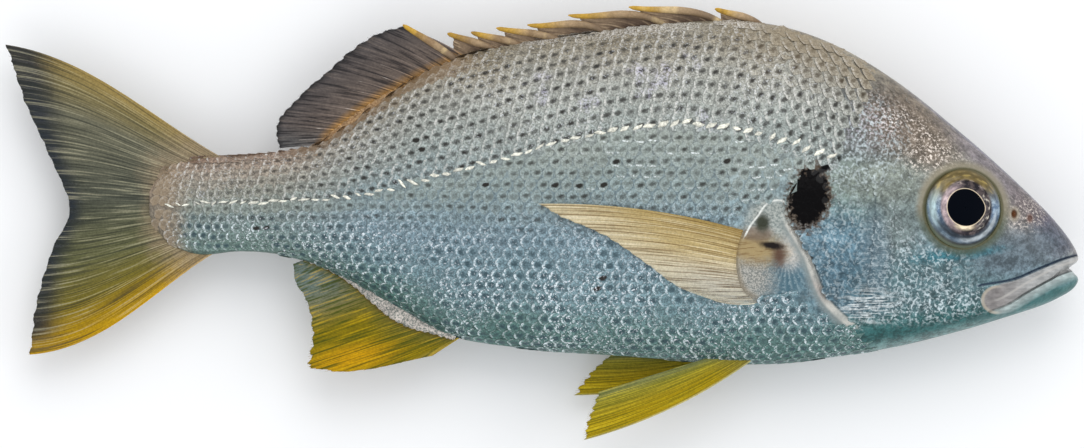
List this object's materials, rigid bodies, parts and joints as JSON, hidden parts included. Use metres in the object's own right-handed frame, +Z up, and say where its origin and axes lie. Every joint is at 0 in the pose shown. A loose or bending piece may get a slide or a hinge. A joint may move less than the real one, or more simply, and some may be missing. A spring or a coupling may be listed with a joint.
{
  "type": "whole raw fish",
  "caption": "Whole raw silver sea bream lying on its side, with spotted scales, a forked tail, folded back spines and yellow fins.",
  "frame": {"origin": "centre of the fish's box, on the surface it lies on", "axes": "+X towards the snout, +Y towards the back, +Z up through the right flank, which is the side that shows"},
  "size_m": [0.322, 0.1296, 0.0417],
  "materials": {
    "skin": "wet silver-grey skin with scales, a dark spot on most of them"
  },
  "bodies": {
    "root": {"fish": "skin"}
  },
  "joints": []
}
